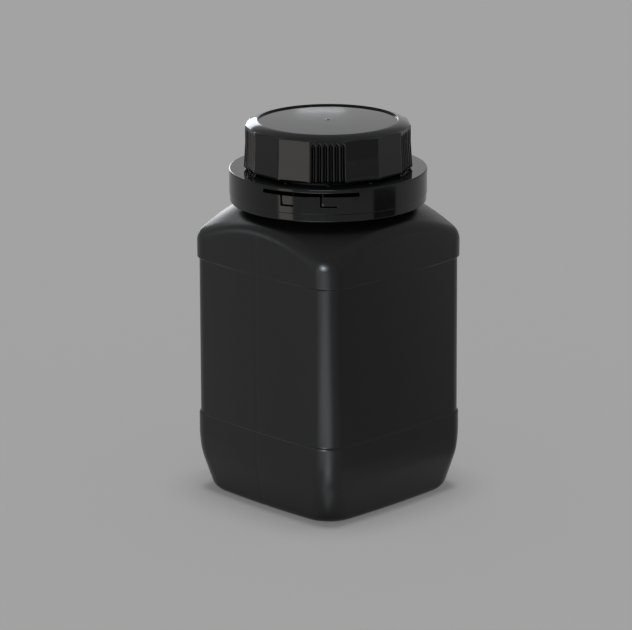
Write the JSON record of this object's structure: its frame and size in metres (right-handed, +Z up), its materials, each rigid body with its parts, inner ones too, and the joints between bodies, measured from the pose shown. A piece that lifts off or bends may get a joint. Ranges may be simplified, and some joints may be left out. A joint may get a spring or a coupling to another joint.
{
  "type": "square plastic bottle",
  "caption": "Square wide-mouth laboratory bottle with a ribbed screw cap, a sealing liner and a tamper-evident ring on its neck.",
  "frame": {"origin": "middle of the base, on the surface that the bottle stands on", "axes": "+Z up along the neck's axis; X and Y are square to the bottle's faces, and the mould parts along X = 0"},
  "size_m": [0.078, 0.078, 0.147],
  "materials": {
    "bottle": "satin black blow-moulded polyethylene",
    "cap": "gloss black injection-moulded polypropylene",
    "ring": "gloss black injection-moulded polypropylene",
    "liner": "pale foamed polyethylene"
  },
  "bodies": {
    "bottle": {"bottle": "bottle", "tamper_ring": "ring"},
    "liner": {"cap_liner": "liner"},
    "cap": {"screw_cap": "cap"}
  },
  "joints": [
    {"name": "cap_lift", "type": "slide", "parent": "bottle", "child": "liner", "axis": [0, 0, 1], "range_m": [0, 0.01]},
    {"name": "cap_turn", "type": "hinge", "parent": "liner", "child": "cap", "pos_m": [0, 0, 0.1447], "axis": [0, 0, 1], "range_deg": [0, 720]}
  ],
  "couplings": [
    {"joint": "cap_lift", "follows": "cap_turn", "m_per_rad": 0.00079577}
  ]
}
